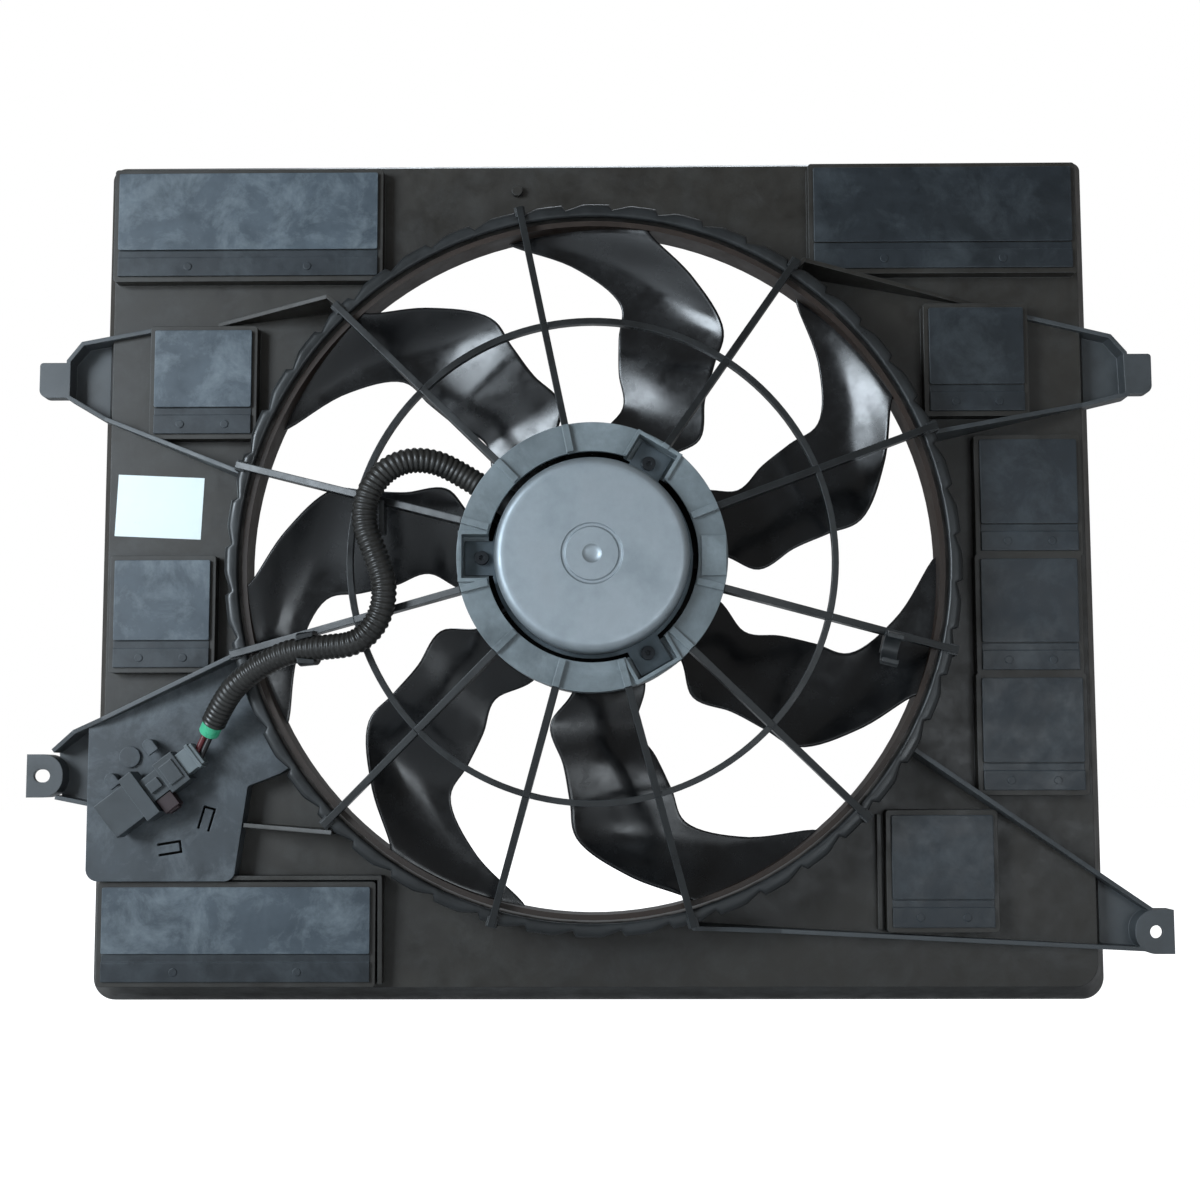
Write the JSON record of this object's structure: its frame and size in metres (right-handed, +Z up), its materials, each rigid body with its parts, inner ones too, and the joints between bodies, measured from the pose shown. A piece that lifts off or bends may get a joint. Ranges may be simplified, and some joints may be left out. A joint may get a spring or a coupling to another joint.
{
  "type": "radiator fan",
  "caption": "Radiator fan module: rectangular shroud with rubber pressure flaps, a toothed barrel, a banded swept-blade fan, a flat motor on stator spokes, and a lead to a plug.",
  "frame": {"origin": "on the fan's axis, in the plane of the shroud's rim that faces the radiator", "axes": "+X to the right and +Z up as seen from the engine side, +Y along the fan's axis towards the radiator"},
  "size_m": [0.6558, 0.108, 0.5007],
  "materials": {
    "shroud_plastic": "satin",
    "ring_plastic": "scuffed satin",
    "fan_plastic": "semi-gloss",
    "flap_rubber": "dusty matt",
    "conduit_plastic": "corrugated satin",
    "plug_plastic": "satin",
    "lock_plastic": "satin",
    "tape_film": "satin",
    "wire_insulation": "satin",
    "label_film": "matt",
    "motor_steel": "satin",
    "plated_steel": "satin",
    "shaft_steel": "ground",
    "bearing_bronze": "sintered",
    "magnet_ferrite": "matt",
    "lamination_steel": "stacked",
    "winding_copper": "enamelled",
    "brush_carbon": "matt",
    "brush_board": "matt",
    "grommet_rubber": "matt",
    "terminal_tin": "plated"
  },
  "bodies": {
    "shroud": {"shroud_panel": "shroud_plastic", "fan_barrel": "shroud_plastic", "stator_spokes": "shroud_plastic", "guard_ring": "shroud_plastic", "motor_ring": "ring_plastic", "ear_upper_left": "shroud_plastic", "ear_upper_right": "shroud_plastic", "ear_lower_left": "shroud_plastic", "ear_lower_right": "shroud_plastic", "barrel_gussets": "shroud_plastic", "connector_plate": "shroud_plastic", "connector_bracket": "shroud_plastic", "connector_housing": "plug_plastic", "connector_rear_cover": "plug_plastic", "terminal_blades": "terminal_tin", "conduit": "conduit_plastic", "wire_tape": "tape_film", "lead_wires": "wire_insulation", "conduit_clip": "shroud_plastic", "spare_clip": "shroud_plastic", "conduit_hook": "shroud_plastic", "rating_label": "label_film", "motor_yoke": "motor_steel", "motor_flange": "plated_steel", "motor_screws": "plated_steel", "motor_end_plate": "motor_steel", "rear_bearing": "bearing_bronze", "front_bearing": "bearing_bronze", "magnets": "magnet_ferrite", "brush_plate": "brush_board", "brushes": "brush_carbon", "cable_grommet": "grommet_rubber", "flap_strips": "flap_rubber", "flap_pegs": "shroud_plastic"},
    "fan": {"motor_shaft": "shaft_steel", "armature_core": "lamination_steel", "armature_windings": "winding_copper", "commutator": "winding_copper", "fan_hub": "fan_plastic", "fan_blades": "fan_plastic", "fan_band": "fan_plastic", "fan_nut": "plated_steel"},
    "flap_top_left": {"flap_top_left": "flap_rubber"},
    "flap_top_right": {"flap_top_right": "flap_rubber"},
    "flap_bottom_left": {"flap_bottom_left": "flap_rubber"},
    "flap_upper_left": {"flap_upper_left": "flap_rubber"},
    "flap_middle_left": {"flap_middle_left": "flap_rubber"},
    "flap_upper_right": {"flap_upper_right": "flap_rubber"},
    "flap_right_high": {"flap_right_high": "flap_rubber"},
    "flap_right_middle": {"flap_right_middle": "flap_rubber"},
    "flap_right_low": {"flap_right_low": "flap_rubber"},
    "flap_bottom_right": {"flap_bottom_right": "flap_rubber"},
    "lock": {"connector_lock": "lock_plastic"}
  },
  "joints": [
    {"name": "fan_spin", "type": "hinge", "parent": "shroud", "child": "fan", "pos_m": [0, 0, 0], "axis": [0, 1, 0], "continuous": true},
    {"name": "flap_top_left_fold", "type": "hinge", "parent": "shroud", "child": "flap_top_left", "pos_m": [-0.20305, -0.0353, 0.1897], "axis": [1, 0, 0], "range_deg": [0, 60], "stiffness_Nm_per_rad": 0.05, "springref_deg": -28.65},
    {"name": "flap_top_right_fold", "type": "hinge", "parent": "shroud", "child": "flap_top_right", "pos_m": [0.2055, -0.0353, 0.1923], "axis": [1, 0, 0], "range_deg": [0, 60], "stiffness_Nm_per_rad": 0.05, "springref_deg": -28.65},
    {"name": "flap_bottom_left_fold", "type": "hinge", "parent": "shroud", "child": "flap_bottom_left", "pos_m": [-0.2033, -0.0353, -0.219], "axis": [1, 0, 0], "range_deg": [0, 60], "stiffness_Nm_per_rad": 0.05, "springref_deg": -28.65},
    {"name": "flap_upper_left_fold", "type": "hinge", "parent": "shroud", "child": "flap_upper_left", "pos_m": [-0.22795, -0.0353, 0.0956], "axis": [1, 0, 0], "range_deg": [0, 60], "stiffness_Nm_per_rad": 0.05, "springref_deg": -28.65},
    {"name": "flap_middle_left_fold", "type": "hinge", "parent": "shroud", "child": "flap_middle_left", "pos_m": [-0.24915, -0.0353, -0.0408], "axis": [1, 0, 0], "range_deg": [0, 60], "stiffness_Nm_per_rad": 0.05, "springref_deg": -28.65},
    {"name": "flap_upper_right_fold", "type": "hinge", "parent": "shroud", "child": "flap_upper_right", "pos_m": [0.2235, -0.0353, 0.1072], "axis": [1, 0, 0], "range_deg": [0, 60], "stiffness_Nm_per_rad": 0.05, "springref_deg": -28.65},
    {"name": "flap_right_high_fold", "type": "hinge", "parent": "shroud", "child": "flap_right_high", "pos_m": [0.2517, -0.0353, 0.0253], "axis": [1, 0, 0], "range_deg": [0, 60], "stiffness_Nm_per_rad": 0.05, "springref_deg": -28.65},
    {"name": "flap_right_middle_fold", "type": "hinge", "parent": "shroud", "child": "flap_right_middle", "pos_m": [0.2506, -0.0353, -0.0434], "axis": [1, 0, 0], "range_deg": [0, 60], "stiffness_Nm_per_rad": 0.05, "springref_deg": -28.65},
    {"name": "flap_right_low_fold", "type": "hinge", "parent": "shroud", "child": "flap_right_low", "pos_m": [0.2508, -0.0353, -0.112], "axis": [1, 0, 0], "range_deg": [0, 60], "stiffness_Nm_per_rad": 0.05, "springref_deg": -28.65},
    {"name": "flap_bottom_right_fold", "type": "hinge", "parent": "shroud", "child": "flap_bottom_right", "pos_m": [0.19765, -0.0353, -0.189], "axis": [1, 0, 0], "range_deg": [0, 60], "stiffness_Nm_per_rad": 0.05, "springref_deg": -28.65},
    {"name": "lock_slide", "type": "slide", "parent": "shroud", "child": "lock", "axis": [0.6101, 0, -0.7923], "range_m": [0, 0.0035]}
  ]
}
